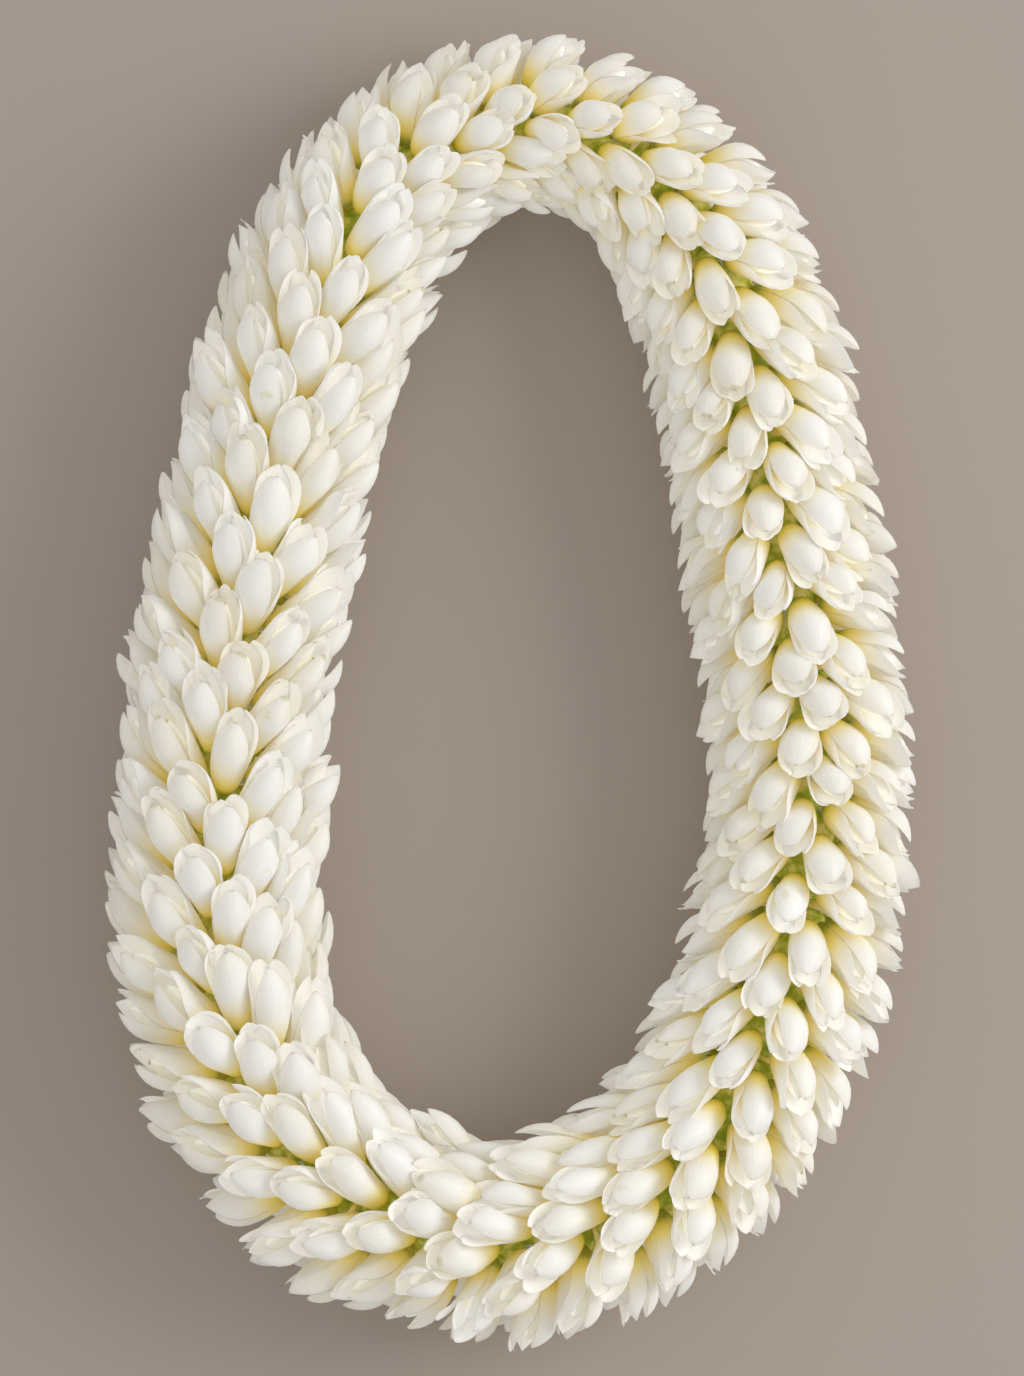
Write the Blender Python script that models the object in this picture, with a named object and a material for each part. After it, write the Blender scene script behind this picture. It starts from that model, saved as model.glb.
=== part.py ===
"""A fresh flower lei: a closed loop of thread strung full of white flower buds, lying flat.

The buds stand all round the thread in whorls, every other whorl turned by half a bud, so that the
heads lie like scales. All tips lean forward, clockwise as seen from above, and away from the thread.
The loop is an egg with its narrow end to +Y. It lies on the surface at z = 0, on the tips of its
lowest buds, which the surface presses flat.

The bunches of buds are one object each: buds fused to the slim core that their tubes pack into.
Inside each core lies the cluster of green bud bases, and the thread runs through all of them.
"""

import math
import random

import bmesh
import bpy
import numpy as np
from mathutils import Matrix, Vector

MM = 0.001

# The loop: marks on the thread's line seen from above, clockwise from the narrow end, in millimetres
LOOP_MARKS_MM = [
    (0, 205), (44, 189), (69, 157), (83, 117), (98, 50),
    (106, -15), (102, -80), (85, -136), (61, -171), (25, -191),
    (-18, -194), (-56, -181), (-87, -150), (-103, -105), (-105, -55),
    (-100, 10), (-87, 77), (-68, 136), (-42, 178), (-20, 198),
]
LOOP_WAVES = 5
LOOP_SAMPLES = 1440

# How the buds are strung: whorls in each bunch, fewer where the loop bends, and buds in each whorl
BUNCH_WHORLS = [3, 3, 5, 6, 6, 4, 3, 3, 3, 3, 3, 4, 6, 6, 6, 3, 3]
BUNCH_COUNT = len(BUNCH_WHORLS)
WHORL_COUNT = sum(BUNCH_WHORLS)
BUDS_PER_WHORL = 8
COLUMN_TURN = 2 * math.pi / BUDS_PER_WHORL
WHORL_TURN = COLUMN_TURN / 4

# Distance from the thread to the tips: slimmer at the narrow end and fuller at the wide end
MIDDLE_REACH = 38.0 * MM
NARROW_LOSS = 6.0 * MM
NARROW_FROM_Y = 90.0 * MM
NARROW_TO_Y = 206.0 * MM
WIDE_GAIN = 2.6 * MM
WIDE_FROM_Y = -20.0 * MM
WIDE_TO_Y = -110.0 * MM

# Lean of the buds from the thread, in degrees: share of the way round, outer side, inner side, and
# how much less the topmost buds stand up
LEAN_STATIONS = [
    (0.00, 60, 48, 2),
    (0.12, 50, 66, 10),
    (0.25, 66, 66, 11),
    (0.37, 70, 55, 11),
    (0.45, 72, 42, 10),
    (0.52, 66, 41, 2),
    (0.65, 54, 41, 0),
    (0.75, 48, 44, 0),
    (0.90, 44, 41, 0),
]

# One bud: shares of its length and of the reach, and its widest half width
BUD_MAX_LENGTH = 44.0 * MM
HEAD_HALF_WIDTH = 9.4 * MM
NARROW_HEAD_HALF_WIDTH = 7.2 * MM
BELLY_AT = 0.52
SHOULDER_AT = 0.82
SHOULDER_SHARE = 0.62
BELLY_SIDES = 4
SHOULDER_RISE = 0.35
BUD_GAP = 0.3 * MM
NEIGHBOUR_REACH = 42.0 * MM
SQUEEZE_PASSES = 8

# Uneven growth, as shares of each measure, with angles in degrees
SEED = 7
PLACE_JITTER = 0.8 * MM
TURN_JITTER = 1.6
LEAN_JITTER = 2.5
REACH_JITTER = 0.03
WIDTH_JITTER = 0.06

# The core that the tubes of the buds pack into, and the green bases inside it
CORE_SHARE = 0.32
ROOT_SHARE = 0.20
CORE_SIDES = 6
CORE_STEPS = 2
CORE_BORE = 4.7 * MM
CORE_AHEAD = 2.5 * MM
BASES_RADIUS = 4.4 * MM
BASES_BORE = 1.3 * MM
END_GAP = 0.3 * MM

# The thread and its knot, which sits in a pocket between the first and the last bases
THREAD_RADIUS = 0.8 * MM
KNOT_RADIUS = 2.4 * MM
KNOT_POCKET = 3.2 * MM

# How deep the lowest tips are pressed flat
FLAT_DEPTH = 2.0 * MM

# Colours and roughness of waxy petals, bare bud bases and cotton thread
BUD_WHITE = (0.86, 0.84, 0.76)
BUD_ROUGHNESS = 0.5
BASE_GREEN = (0.33, 0.38, 0.08)
BASE_ROUGHNESS = 0.6
THREAD_WHITE = (0.78, 0.76, 0.70)
THREAD_ROUGHNESS = 0.9


def wave_terms(turn):
    """The constant and the sine and cosine terms of a closed curve, one row for each turn."""
    terms = [np.ones_like(turn)]
    for wave in range(1, LOOP_WAVES + 1):
        terms.append(np.cos(wave * turn))
        terms.append(np.sin(wave * turn))
    return np.column_stack(terms)


def fit_loop():
    """Points on the smooth closed curve nearest the marks, and the distance round to each."""
    marks = np.array(LOOP_MARKS_MM) * MM
    steps = np.linalg.norm(np.roll(marks, -1, axis=0) - marks, axis=1)
    mark_turns = 2 * math.pi * (np.cumsum(steps) - steps) / steps.sum()
    weights = np.linalg.lstsq(wave_terms(mark_turns), marks, rcond=None)[0]
    points = wave_terms(np.linspace(0, 2 * math.pi, LOOP_SAMPLES + 1)) @ weights
    lengths = np.linalg.norm(np.diff(points, axis=0), axis=1)
    return points, np.concatenate([[0.0], np.cumsum(lengths)])


LOOP_POINTS, LOOP_DISTANCES = fit_loop()
LOOP_LENGTH = LOOP_DISTANCES[-1]
WHORL_PITCH = LOOP_LENGTH / WHORL_COUNT
UP = Vector((0, 0, 1))


def share_between(value, low, high):
    """How far value lies from low to high, held between 0 and 1."""
    return min(max((value - low) / (high - low), 0.0), 1.0)


def reach_at(y):
    """Distance from the thread to the tips at a place along the loop's length."""
    narrowing = NARROW_LOSS * share_between(y, NARROW_FROM_Y, NARROW_TO_Y) ** 2
    widening = WIDE_GAIN * share_between(y, WIDE_FROM_Y, WIDE_TO_Y)
    return MIDDLE_REACH - narrowing + widening


def plan_point(distance):
    """The thread's place seen from above, at a distance round the loop."""
    along = distance % LOOP_LENGTH
    return Vector([np.interp(along, LOOP_DISTANCES, LOOP_POINTS[:, axis]) for axis in (0, 1)])


def frame_at(distance):
    """The thread's place, with its forward direction and the direction out of the loop."""
    plan = plan_point(distance)
    ahead = plan_point(distance + 1 * MM) - plan_point(distance - 1 * MM)
    forward = Vector((ahead.x, ahead.y, 0)).normalized()
    outward = UP.cross(forward)
    height = reach_at(plan.y) * math.cos(WHORL_TURN) - FLAT_DEPTH
    return Vector((plan.x, plan.y, height)), forward, outward


def lean_at(distance, angle):
    """Lean of a bud in radians, with its angle about the thread from the top to the outer side."""
    shares, *columns = zip(*LEAN_STATIONS)
    share = distance / LOOP_LENGTH
    outer, inner, lowering = [np.interp(share, shares, column, period=1.0) for column in columns]
    lean = (outer + inner + math.sin(angle) * (outer - inner)) / 2
    return math.radians(lean - max(math.cos(angle), 0.0) * lowering)


def place_bud(whorl, column, rng):
    """One bud as its corner points, its belly's centre and its axis."""
    distance = (whorl + 0.5) * WHORL_PITCH + rng.uniform(-1, 1) * PLACE_JITTER
    angle = column * COLUMN_TURN + (WHORL_TURN if whorl % 2 else -WHORL_TURN)
    angle += math.radians(rng.uniform(-1, 1) * TURN_JITTER)
    centre, forward, outward = frame_at(distance)
    away = UP * math.cos(angle) + outward * math.sin(angle)
    lean = lean_at(distance, angle) + math.radians(rng.uniform(-1, 1) * LEAN_JITTER)
    axis = forward * math.cos(lean) + away * math.sin(lean)
    crown = away * math.cos(lean) - forward * math.sin(lean)
    side = axis.cross(crown)

    reach = reach_at(centre.y) * (1 + rng.uniform(-1, 1) * REACH_JITTER)
    neck = centre + away * reach * CORE_SHARE
    length = min(reach * (1 - CORE_SHARE) / math.sin(lean), BUD_MAX_LENGTH)
    slimness = share_between(centre.y, NARROW_FROM_Y, NARROW_TO_Y)
    half_width = HEAD_HALF_WIDTH + (NARROW_HEAD_HALF_WIDTH - HEAD_HALF_WIDTH) * slimness
    half_width *= 1 + rng.uniform(-1, 1) * WIDTH_JITTER

    belly = neck + axis * length * BELLY_AT
    shoulder = neck + axis * length * SHOULDER_AT + crown * half_width * SHOULDER_RISE
    corners = [centre + away * reach * ROOT_SHARE, neck + axis * length]
    corners += [shoulder + side * half_width * SHOULDER_SHARE * hand for hand in (-1, 1)]
    for corner in range(BELLY_SIDES):
        turn = 2 * math.pi * corner / BELLY_SIDES
        corners.append(belly + half_width * (math.cos(turn) * crown + math.sin(turn) * side))
    return {"corners": corners, "belly": belly, "axis": axis}


def squeeze_buds(buds):
    """Press every bud back to its own side of the planes halfway to its neighbours."""
    for bud in buds:
        walls = []
        for other in buds:
            between = other["belly"] - bud["belly"]
            if other is bud or between.length > NEIGHBOUR_REACH:
                continue
            shared_axis = (bud["axis"] + other["axis"]).normalized()
            normal = (between - between.dot(shared_axis) * shared_axis).normalized()
            walls.append((bud["belly"] + between / 2 - normal * BUD_GAP / 2, normal))
        squeezed = []
        for corner in bud["corners"]:
            for _ in range(SQUEEZE_PASSES):
                for point, normal in walls:
                    past = (corner - point).dot(normal)
                    if past > 0:
                        corner = corner - normal * past
            squeezed.append(corner)
        bud["squeezed"] = squeezed


def make_material(name, colour, roughness):
    """A plain plant or thread material."""
    material = bpy.data.materials.new(name)
    material.use_nodes = True
    shader = material.node_tree.nodes["Principled BSDF"]
    shader.inputs["Base Color"].default_value = (*colour, 1)
    shader.inputs["Roughness"].default_value = roughness
    shader.inputs["Metallic"].default_value = 0.0
    return material


def add_object(name, bm, collection, material=None):
    """An object from a bmesh, at the world's origin, with its faces turned outwards."""
    bmesh.ops.recalc_face_normals(bm, faces=bm.faces)
    mesh = bpy.data.meshes.new(name)
    bm.to_mesh(mesh)
    bm.free()
    item = bpy.data.objects.new(name, mesh)
    collection.objects.link(item)
    if material:
        mesh.materials.append(material)
    return item


def bud_object(bud, name, collection):
    """A bud as the hull of its corners, cut flat where it would reach under the surface."""
    bm = bmesh.new()
    for corner in bud["squeezed"]:
        bm.verts.new(corner)
    hull = bmesh.ops.convex_hull(bm, input=bm.verts)
    loose = [piece for piece in hull["geom_interior"] if isinstance(piece, bmesh.types.BMVert)]
    bmesh.ops.delete(bm, geom=loose, context="VERTS")
    geometry = bm.verts[:] + bm.edges[:] + bm.faces[:]
    bmesh.ops.bisect_plane(
        bm, geom=geometry, plane_co=(0, 0, 0), plane_no=(0, 0, -1), clear_outer=True)
    bmesh.ops.holes_fill(bm, edges=[edge for edge in bm.edges if edge.is_boundary])
    return add_object(name, bm, collection)


def bunch_places(number, end_gap=0.0):
    """Distances round the loop to the ends of a bunch's core and to its steps between them."""
    first_whorl = sum(BUNCH_WHORLS[:number])
    start = first_whorl * WHORL_PITCH + CORE_AHEAD + end_gap / 2
    length = BUNCH_WHORLS[number] * WHORL_PITCH - end_gap
    return [start + length * step / CORE_STEPS for step in range(CORE_STEPS + 1)]


def bunch_sections(number):
    """Each place along a bunch's length, as its centre and the turn of a ring about it."""
    sections = []
    for place in bunch_places(number, END_GAP):
        centre, forward, outward = frame_at(place)
        sections.append((centre, Matrix((outward, UP, forward)).transposed().to_4x4()))
    return sections


def sleeve_object(name, sections, outer_radii, bore, collection, material):
    """A bored tube through a bunch's sections, with its outer radius at each."""
    bm = bmesh.new()
    walls = list(zip(sections, outer_radii))
    walls += [(section, bore) for section in reversed(sections)]
    rings = []
    for (centre, turned), radius in walls:
        ring = bmesh.ops.create_circle(
            bm, radius=radius, segments=CORE_SIDES, matrix=Matrix.Translation(centre) @ turned)
        rings.append(ring["verts"])
    for ring, following in zip(rings, rings[1:] + rings[:1]):
        for side in range(CORE_SIDES):
            bm.faces.new([ring[side - 1], ring[side], following[side], following[side - 1]])
    bmesh.ops.triangulate(bm, faces=bm.faces)
    return add_object(name, bm, collection, material)


def unite(item, pieces):
    """Fuse a collection of pieces into an object and remove them."""
    union = item.modifiers.new("Union", "BOOLEAN")
    union.operation = "UNION"
    union.operand_type = "COLLECTION"
    union.collection = pieces
    union.solver = "EXACT"
    depsgraph = bpy.context.evaluated_depsgraph_get()
    fused = bpy.data.meshes.new_from_object(item.evaluated_get(depsgraph))
    item.modifiers.clear()
    item.data = fused
    for piece in list(pieces.objects):
        bpy.data.objects.remove(piece)
    bpy.data.collections.remove(pieces)


def new_collection(name):
    """A collection linked to the scene."""
    collection = bpy.data.collections.new(name)
    bpy.context.scene.collection.children.link(collection)
    return collection


def build_bunch(number, buds, lei, material):
    """A bunch of buds fused to the core that their tubes pack into."""
    name = f"buds_{number + 1:02d}"
    sections = bunch_sections(number)
    radii = [CORE_SHARE * reach_at(centre.y) for centre, _ in sections]
    core = sleeve_object(name, sections, radii, CORE_BORE, lei, material)
    pieces = new_collection(f"{name}_pieces")
    for bud in buds:
        bud_object(bud, f"{name}_bud", pieces)
    unite(core, pieces)


def build_bases(number, lei, material):
    """The cluster of green bud bases inside a bunch's core, short of the knot at the loop's ends."""
    sections = bunch_sections(number)
    if number == 0:
        sections[0] = shortened(sections[0], sections[1])
    if number == BUNCH_COUNT - 1:
        sections[-1] = shortened(sections[-1], sections[-2])
    radii = [BASES_RADIUS] * len(sections)
    sleeve_object(f"bases_{number + 1:02d}", sections, radii, BASES_BORE, lei, material)


def shortened(section, following):
    """An end section moved towards the next by the knot's pocket."""
    centre, turned = section
    return centre + (following[0] - centre).normalized() * KNOT_POCKET, turned


def build_thread(lei, material):
    """The closed loop of thread, with its knot."""
    curve = bpy.data.curves.new("thread", "CURVE")
    curve.dimensions = "3D"
    curve.bevel_depth = THREAD_RADIUS
    curve.bevel_resolution = 1
    spline = curve.splines.new("POLY")
    places = [place for number in range(BUNCH_COUNT) for place in bunch_places(number)[:-1]]
    spline.points.add(len(places) - 1)
    for point, place in zip(spline.points, places):
        point.co = (*frame_at(place)[0], 1)
    spline.use_cyclic_u = True
    route = bpy.data.objects.new("thread_route", curve)
    lei.objects.link(route)
    depsgraph = bpy.context.evaluated_depsgraph_get()
    bm = bmesh.new()
    bm.from_mesh(bpy.data.meshes.new_from_object(route.evaluated_get(depsgraph)))
    bpy.data.objects.remove(route)
    thread = add_object("thread", bm, lei, material)

    pieces = new_collection("thread_pieces")
    bm = bmesh.new()
    knot_place = frame_at(CORE_AHEAD)[0]
    bmesh.ops.create_icosphere(
        bm, subdivisions=1, radius=KNOT_RADIUS, matrix=Matrix.Translation(knot_place))
    add_object("knot", bm, pieces)
    unite(thread, pieces)


def build_lei():
    """The whole lei."""
    for item in list(bpy.data.objects):
        bpy.data.objects.remove(item)
    lei = new_collection("flower_lei")
    bud_white = make_material("bud_white", BUD_WHITE, BUD_ROUGHNESS)
    base_green = make_material("base_green", BASE_GREEN, BASE_ROUGHNESS)
    thread_white = make_material("thread_white", THREAD_WHITE, THREAD_ROUGHNESS)

    rng = random.Random(SEED)
    buds = []
    for whorl in range(WHORL_COUNT):
        for column in range(BUDS_PER_WHORL):
            buds.append(place_bud(whorl, column, rng))
    squeeze_buds(buds)

    first = 0
    for number, whorls in enumerate(BUNCH_WHORLS):
        following = first + whorls * BUDS_PER_WHORL
        build_bunch(number, buds[first:following], lei, bud_white)
        build_bases(number, lei, base_green)
        first = following
    build_thread(lei, thread_white)


build_lei()
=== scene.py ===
"""A fresh flower lei laid flat: white, waxy buds strung all round a closed loop of thread.

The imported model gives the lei's size and place. This script makes the buds petal by petal where
the model has its plain ones, and gives every surface its finish.
"""

import math
import random

import bmesh
import bpy
import numpy as np
from mathutils import Matrix, Vector


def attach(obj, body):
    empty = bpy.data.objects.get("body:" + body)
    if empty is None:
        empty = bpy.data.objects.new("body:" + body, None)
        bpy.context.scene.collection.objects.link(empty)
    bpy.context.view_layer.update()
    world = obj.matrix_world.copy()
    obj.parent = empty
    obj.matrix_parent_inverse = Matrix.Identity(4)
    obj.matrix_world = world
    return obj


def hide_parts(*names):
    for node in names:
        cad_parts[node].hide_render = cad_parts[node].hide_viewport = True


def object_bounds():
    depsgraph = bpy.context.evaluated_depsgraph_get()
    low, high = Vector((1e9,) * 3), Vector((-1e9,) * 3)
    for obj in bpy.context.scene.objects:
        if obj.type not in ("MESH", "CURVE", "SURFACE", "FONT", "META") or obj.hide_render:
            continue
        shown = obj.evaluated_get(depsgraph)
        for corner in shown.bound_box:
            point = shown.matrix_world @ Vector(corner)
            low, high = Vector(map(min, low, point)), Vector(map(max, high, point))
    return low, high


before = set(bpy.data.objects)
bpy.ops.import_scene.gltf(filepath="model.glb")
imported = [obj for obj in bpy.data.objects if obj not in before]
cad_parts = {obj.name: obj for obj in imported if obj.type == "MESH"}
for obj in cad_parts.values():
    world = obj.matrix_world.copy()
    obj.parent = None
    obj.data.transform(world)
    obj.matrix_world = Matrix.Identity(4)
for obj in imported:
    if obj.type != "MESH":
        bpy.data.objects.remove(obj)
cad_low, cad_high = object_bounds()


# Stringing: the thread runs in a closed, egg-shaped loop with its narrow end to +Y, and the buds
# are strung on it in whorls of eight, every other whorl turned by half a bud. Their tips lean
# clockwise and away from the thread.
MM = 0.001
LOOP_MARKS_MM = [
    (0, 205), (44, 189), (69, 157), (83, 117), (98, 50),
    (106, -15), (102, -80), (85, -136), (61, -171), (25, -191),
    (-18, -194), (-56, -181), (-87, -150), (-103, -105), (-105, -55),
    (-100, 10), (-87, 77), (-68, 136), (-42, 178), (-20, 198),
]
LOOP_WAVES = 5
LOOP_SAMPLES = 1440
LOOP_STEP = 1.0 * MM
BUNCH_WHORLS = [3, 3, 5, 6, 6, 4, 3, 3, 3, 3, 3, 4, 6, 6, 6, 3, 3]
WHORL_COUNT = sum(BUNCH_WHORLS)
BUDS_PER_WHORL = 8
COLUMN_TURN = 2 * math.pi / BUDS_PER_WHORL
WHORL_TURN = COLUMN_TURN / 4
UP = np.array((0.0, 0.0, 1.0))

# Distance from the thread to the tips: slimmer at the narrow end and fuller at the wide end, with
# the lowest tips pressed flat by the surface that the lei lies on
MIDDLE_REACH = 38.0 * MM
NARROW_LOSS = 6.0 * MM
NARROW_FROM_Y = 90.0 * MM
NARROW_TO_Y = 206.0 * MM
WIDE_GAIN = 2.6 * MM
WIDE_FROM_Y = -20.0 * MM
WIDE_TO_Y = -110.0 * MM
FLAT_DEPTH = 2.0 * MM

# Lean of the buds from the thread, in degrees: share of the way round, outer side, inner side, and
# how much less the topmost buds stand up
LEAN_STATIONS = [
    (0.00, 60, 48, 2),
    (0.12, 50, 66, 10),
    (0.25, 66, 66, 11),
    (0.37, 70, 55, 11),
    (0.45, 72, 42, 10),
    (0.52, 66, 41, 2),
    (0.65, 54, 41, 0),
    (0.75, 48, 44, 0),
    (0.90, 44, 41, 0),
]

# The buds' own sizes, and where they begin, as shares of the way from the thread to the tips
BUD_MAX_LENGTH = 44.0 * MM
HEAD_HALF_WIDTH = 9.4 * MM
NARROW_HEAD_HALF_WIDTH = 7.2 * MM
ROOT_AT = 0.20
NECK_AT = 0.32

# Uneven growth, as shares of each measure, with angles in degrees
PLACE_SEED = 7
PLACE_JITTER = 0.8 * MM
TURN_JITTER = 1.6
LEAN_JITTER = 2.5
REACH_JITTER = 0.03
WIDTH_JITTER = 0.06

# How the strung heads settle, with angles in degrees: they tip most at the lei's sides. On the
# outer side of the narrow end they have room and are fuller. The topmost ones of the limb that
# runs down are smaller, and those crowded inside the wide end are slimmer: shares of the way
# round, and by how much.
SETTLE_SEED = 23
SETTLE_TURN = 4.5
SIDE_SETTLE = 0.9
SETTLE_GIRTH = 0.05
OUTER_FULLNESS = 0.26
TOP_SMALLNESS_STATIONS = (
    (0.0, 0.06, 0.14, 0.40, 0.50, 0.58), (0.0, 0.03, 0.12, 0.12, 0.06, 0.0))
INNER_SLIMNESS_STATIONS = ((0.30, 0.38, 0.50, 0.60), (0.0, 0.16, 0.16, 0.0))


def wave_terms(turn):
    """The constant and the sine and cosine terms of a closed curve, one row for each turn."""
    terms = [np.ones_like(turn)]
    for wave in range(1, LOOP_WAVES + 1):
        terms.append(np.cos(wave * turn))
        terms.append(np.sin(wave * turn))
    return np.column_stack(terms)


def fit_loop():
    """Points on the smooth closed curve nearest the marks, and the distance round to each."""
    marks = np.array(LOOP_MARKS_MM) * MM
    steps = np.linalg.norm(np.roll(marks, -1, axis=0) - marks, axis=1)
    mark_turns = 2 * math.pi * (np.cumsum(steps) - steps) / steps.sum()
    weights = np.linalg.lstsq(wave_terms(mark_turns), marks, rcond=None)[0]
    points = wave_terms(np.linspace(0, 2 * math.pi, LOOP_SAMPLES + 1)) @ weights
    lengths = np.linalg.norm(np.diff(points, axis=0), axis=1)
    return points, np.concatenate([[0.0], np.cumsum(lengths)])


LOOP_POINTS, LOOP_DISTANCES = fit_loop()
LOOP_LENGTH = LOOP_DISTANCES[-1]
WHORL_PITCH = LOOP_LENGTH / WHORL_COUNT


def unit(vector):
    """A vector at length 1."""
    return vector / np.linalg.norm(vector)


def jitter(rng, most):
    """A random step of up to most either way."""
    return rng.uniform(-1, 1) * most


def along_loop(stations, share):
    """A measure at a share of the way round, from its stations."""
    return np.interp(share, *stations, period=1.0)


def share_between(value, low, high):
    """How far value lies from low to high, held between 0 and 1."""
    return min(max((value - low) / (high - low), 0.0), 1.0)


def reach_at(y):
    """Distance from the thread to the tips at a place along the loop's length."""
    narrowing = NARROW_LOSS * share_between(y, NARROW_FROM_Y, NARROW_TO_Y) ** 2
    widening = WIDE_GAIN * share_between(y, WIDE_FROM_Y, WIDE_TO_Y)
    return MIDDLE_REACH - narrowing + widening


def plan_point(distance):
    """The thread's place seen from above, at a distance round the loop."""
    along = distance % LOOP_LENGTH
    return np.array([np.interp(along, LOOP_DISTANCES, LOOP_POINTS[:, axis]) for axis in (0, 1)])


def frame_at(distance):
    """The thread's place, with its forward direction and the direction out of the loop."""
    plan = plan_point(distance)
    ahead = plan_point(distance + LOOP_STEP) - plan_point(distance - LOOP_STEP)
    forward = unit(np.append(ahead, 0.0))
    height = reach_at(plan[1]) * math.cos(WHORL_TURN) - FLAT_DEPTH
    return np.append(plan, height), forward, np.cross(UP, forward)


def lean_at(distance, angle):
    """Lean of a bud in radians, with its angle about the thread from the top to the outer side."""
    shares, *columns = zip(*LEAN_STATIONS)
    share = distance / LOOP_LENGTH
    outer, inner, lowering = [along_loop((shares, column), share) for column in columns]
    lean = (outer + inner + math.sin(angle) * (outer - inner)) / 2
    return math.radians(lean - max(math.cos(angle), 0.0) * lowering)


def place_bud(whorl, column, rng):
    """One bud's root, neck, directions and sizes."""
    distance = (whorl + 0.5) * WHORL_PITCH + jitter(rng, PLACE_JITTER)
    angle = column * COLUMN_TURN + (WHORL_TURN if whorl % 2 else -WHORL_TURN)
    angle += math.radians(jitter(rng, TURN_JITTER))
    centre, forward, outward = frame_at(distance)
    away = UP * math.cos(angle) + outward * math.sin(angle)
    lean = lean_at(distance, angle) + math.radians(jitter(rng, LEAN_JITTER))
    axis = forward * math.cos(lean) + away * math.sin(lean)
    crown = away * math.cos(lean) - forward * math.sin(lean)

    reach = reach_at(centre[1]) * (1 + jitter(rng, REACH_JITTER))
    slimness = share_between(centre[1], NARROW_FROM_Y, NARROW_TO_Y)
    half_width = HEAD_HALF_WIDTH + (NARROW_HEAD_HALF_WIDTH - HEAD_HALF_WIDTH) * slimness
    half_width *= 1 + jitter(rng, WIDTH_JITTER)

    share = distance / LOOP_LENGTH
    length = min(reach * (1 - NECK_AT) / math.sin(lean), BUD_MAX_LENGTH)
    smallness = along_loop(TOP_SMALLNESS_STATIONS, share) * max(math.cos(angle), 0.0)
    crowding = along_loop(INNER_SLIMNESS_STATIONS, share) * max(-math.sin(angle), 0.0)
    roominess = OUTER_FULLNESS * slimness * (1 + math.sin(angle)) / 2
    return {
        "root": centre + away * reach * ROOT_AT,
        "neck": centre + away * reach * NECK_AT,
        "axis": axis,
        "crown": crown,
        "side": np.cross(axis, crown),
        "length": length * (1 - smallness),
        "half_width": half_width,
        "share": share,
        "sideness": abs(math.sin(angle)),
        "fullness": roominess - smallness - crowding,
    }


def settle(bud, rng):
    """Tip a bud a little its own way where it presses on its neighbours, and set its girth."""
    nod = math.radians(jitter(rng, SETTLE_TURN)) * (1 + SIDE_SETTLE * bud["sideness"])
    swing = math.radians(jitter(rng, SETTLE_TURN))
    tilt = Matrix.Rotation(nod, 3, Vector(bud["side"]))
    tilt = Matrix.Rotation(swing, 3, Vector(bud["crown"])) @ tilt
    for name in ("axis", "crown", "side"):
        bud[name] = np.array(tilt @ Vector(bud[name]))
    bud["half_width"] *= 1 + bud["fullness"] + jitter(rng, SETTLE_GIRTH)


placing = random.Random(PLACE_SEED)
settling = random.Random(SETTLE_SEED)
buds = []
for whorl in range(WHORL_COUNT):
    for column in range(BUDS_PER_WHORL):
        buds.append(place_bud(whorl, column, placing))
        settle(buds[-1], settling)


# Crowding: the heads press against each other on the string, so each keeps to its own side of
# the planes halfway to its neighbours, and its petals are flattened where they meet them. Shares
# are of a bud's length, and of the room it has before it is pressed.
BELLY_AT = 0.52
NEIGHBOUR_REACH = 42.0 * MM
FREE_SHARE = 0.72
LEAST_FACING = 0.05
LEAST_ROOM = 2.0 * MM
MOST_ROOM = 1000.0 * MM
WALL_FADES_AT = 0.72
OPEN_ROOM = 12.0 * MM
TINY = 1e-9


def belly(bud):
    """The middle of a bud's widest part."""
    return bud["neck"] + bud["axis"] * bud["length"] * BELLY_AT


for bud in buds:
    near = [other for other in buds if other is not bud
            and np.linalg.norm(belly(other) - belly(bud)) < NEIGHBOUR_REACH]
    betweens = [belly(other) - belly(bud) for other in near]
    shared_axes = [unit(bud["axis"] + other["axis"]) for other in near]
    bud["wall_points"] = np.array([belly(bud) + between / 2 for between in betweens])
    bud["wall_normals"] = np.array([
        unit(between - between.dot(axis) * axis) for between, axis in zip(betweens, shared_axes)])
    bud["near_necks"] = np.array([other["neck"] for other in near])
    bud["near_axes"] = np.array([other["axis"] / other["length"] for other in near])


def press(bud, places):
    """Places round a bud's axis, drawn in smoothly to where the neighbours' walls leave room.
    A wall ends at the neighbour's tip, so a head spreads over the tips in front of it."""
    spines = bud["neck"] + np.outer((places - bud["neck"]) @ bud["axis"], bud["axis"])
    offsets = places - spines
    spans = np.linalg.norm(offsets, axis=1, keepdims=True)
    ways = offsets / np.maximum(spans, TINY)
    facing = ways @ bud["wall_normals"].T
    depths = (bud["wall_points"] * bud["wall_normals"]).sum(axis=1)
    room = (depths - spines @ bud["wall_normals"].T) / np.maximum(facing, TINY)
    neck_heights = (bud["near_necks"] * bud["near_axes"]).sum(axis=1)
    heights = places @ bud["near_axes"].T - neck_heights
    past = np.clip((heights - WALL_FADES_AT) / (1 - WALL_FADES_AT), 0, 1)
    room = room + past * OPEN_ROOM
    room = np.where(facing > LEAST_FACING, room, MOST_ROOM).min(axis=1, keepdims=True)
    room = np.maximum(room, LEAST_ROOM)
    share = spans / room
    crowded = FREE_SHARE + (1 - FREE_SHARE) * np.tanh((share - FREE_SHARE) / (1 - FREE_SHARE))
    return spines + ways * room * np.where(share > FREE_SHARE, crowded, share)


# Buds: each is a waxy white flower, still closed or just opening, on a slim tube. Its front petal
# is a spoon with a smooth bulge, three more stand close round it like a hood, with thin rims and
# tips that part, and the inner ones are still furled. Subdivision smooths each closed slip.

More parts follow.
